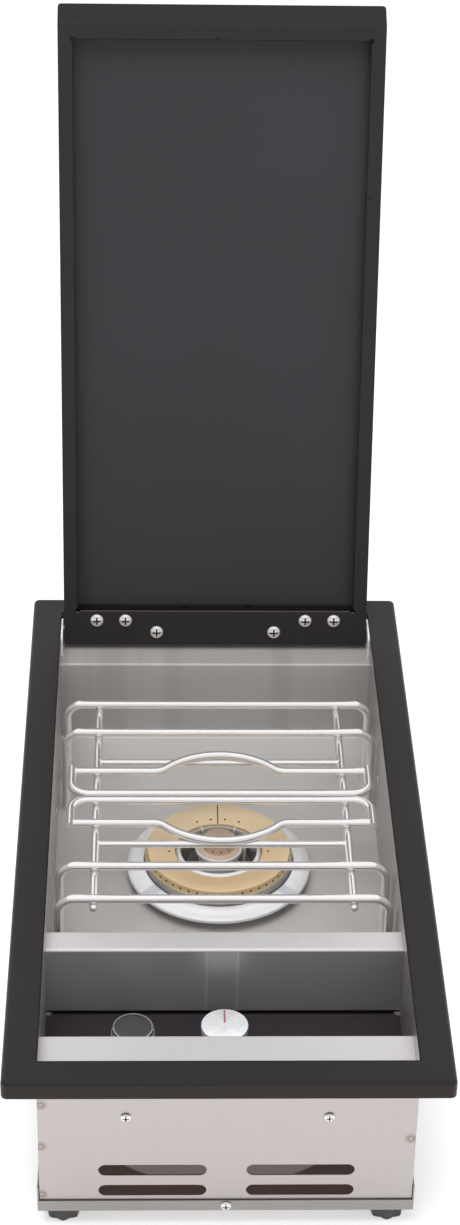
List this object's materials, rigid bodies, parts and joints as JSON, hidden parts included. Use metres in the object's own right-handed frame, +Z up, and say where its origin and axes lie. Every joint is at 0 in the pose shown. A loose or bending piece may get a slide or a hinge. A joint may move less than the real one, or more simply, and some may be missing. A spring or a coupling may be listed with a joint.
{
  "type": "built in side burner",
  "caption": "Drop-in side burner: long stainless firebox in a black trim frame with a tall folding lid, lift-out wire grates, a brass ring burner, a push-and-turn knob and a push igniter.",
  "frame": {"origin": "under the middle of the whole outline with the lid standing open, at the height the feet stand on", "axes": "+Z up, +X to the right across the narrow width, -Y towards the control bay and the person cooking"},
  "size_m": [0.34, 0.733, 0.7287],
  "materials": {
    "black_paint": "fine powder coat",
    "steel": "brushed",
    "chrome": "polished",
    "brass": "machined, satin",
    "copper": "copper tinted, satin",
    "cast_aluminium": "as cast",
    "knob_aluminium": "turned",
    "panel_black": "gloss enamel",
    "dark_plastic": "moulded",
    "red_paint": "filled line",
    "ceramic": "glazed"
  },
  "bodies": {
    "box": {"trim_frame": "black_paint", "side_panel_left": "steel", "side_panel_right": "steel", "front_panel": "steel", "rear_panel": "steel", "bottom_tray": "steel", "firebox_liner": "steel", "divider": "steel", "front_rail": "steel", "control_panel": "panel_black", "front_screw_left": "chrome", "front_screw_right": "chrome", "wall_screw_left": "chrome", "wall_screw_right": "chrome", "tray_screw_front": "chrome", "tray_screw_rear": "chrome", "trim_ring": "chrome", "burner_base": "cast_aluminium", "inner_cone": "steel", "electrode_ceramic": "ceramic", "electrode_tip": "chrome", "thermocouple": "steel", "mixer_tube": "cast_aluminium", "gas_valve": "brass", "jet": "brass", "igniter_collar": "chrome", "igniter_housing": "dark_plastic", "gas_pipe": "steel", "inlet_fitting": "brass", "hinge_plate_left": "steel", "hinge_plate_right": "steel", "hinge_pin_left": "steel", "hinge_pin_right": "steel"},
    "lid": {"lid_shell": "black_paint", "hinge_arm_left": "steel", "hinge_arm_right": "steel", "lid_screw_left_1": "chrome", "lid_screw_left_2": "chrome", "lid_screw_left_3": "chrome", "lid_screw_right_1": "chrome", "lid_screw_right_2": "chrome", "lid_screw_right_3": "chrome"},
    "rear_grate_body": {"rear_grate": "chrome"},
    "front_grate_body": {"front_grate": "chrome"},
    "ring_body": {"burner_ring": "brass"},
    "cap_body": {"burner_cap": "copper", "cap_collar": "chrome"},
    "plunger_body": {"valve_plunger": "brass"},
    "knob_body": {"knob": "knob_aluminium", "knob_pointer": "red_paint", "valve_stem": "steel"},
    "igniter_body": {"igniter_rim": "chrome", "igniter_cap": "dark_plastic"},
    "foot_front_left_body": {"foot_front_left": "dark_plastic"},
    "foot_front_right_body": {"foot_front_right": "dark_plastic"},
    "foot_rear_left_body": {"foot_rear_left": "dark_plastic"},
    "foot_rear_right_body": {"foot_rear_right": "dark_plastic"}
  },
  "joints": [
    {"name": "lid_hinge", "type": "hinge", "parent": "box", "child": "lid", "pos_m": [0, 0.26031, 0.16075], "axis": [1, 0, 0], "range_deg": [0, 99.9]},
    {"name": "rear_grate_lift", "type": "slide", "parent": "box", "child": "rear_grate_body", "axis": [0, 0, 1], "range_m": [0, 0.12]},
    {"name": "front_grate_lift", "type": "slide", "parent": "box", "child": "front_grate_body", "axis": [0, 0, 1], "range_m": [0, 0.12]},
    {"name": "ring_lift", "type": "slide", "parent": "box", "child": "ring_body", "axis": [0, 0, 1], "range_m": [0, 0.04]},
    {"name": "cap_lift", "type": "slide", "parent": "box", "child": "cap_body", "axis": [0, 0, 1], "range_m": [0, 0.04]},
    {"name": "knob_push", "type": "slide", "parent": "box", "child": "plunger_body", "axis": [0, 0, -1], "range_m": [0, 0.003], "stiffness_N_per_m": 1500, "springref_m": -0.002},
    {"name": "knob_turn", "type": "hinge", "parent": "plunger_body", "child": "knob_body", "pos_m": [0, -0.23439, 0.1], "axis": [0, 0, 1], "range_deg": [0, 210]},
    {"name": "igniter_push", "type": "slide", "parent": "box", "child": "igniter_body", "axis": [0, 0, -1], "range_m": [0, 0.0035], "stiffness_N_per_m": 1200, "springref_m": -0.002},
    {"name": "foot_front_left_turn", "type": "hinge", "parent": "box", "child": "foot_front_left_body", "pos_m": [-0.1266, -0.3251, 0.01], "axis": [0, 0, 1], "continuous": true},
    {"name": "foot_front_right_turn", "type": "hinge", "parent": "box", "child": "foot_front_right_body", "pos_m": [0.1266, -0.3251, 0.01], "axis": [0, 0, 1], "continuous": true},
    {"name": "foot_rear_left_turn", "type": "hinge", "parent": "box", "child": "foot_rear_left_body", "pos_m": [-0.1266, 0.2591, 0.01], "axis": [0, 0, 1], "continuous": true},
    {"name": "foot_rear_right_turn", "type": "hinge", "parent": "box", "child": "foot_rear_right_body", "pos_m": [0.1266, 0.2591, 0.01], "axis": [0, 0, 1], "continuous": true}
  ]
}
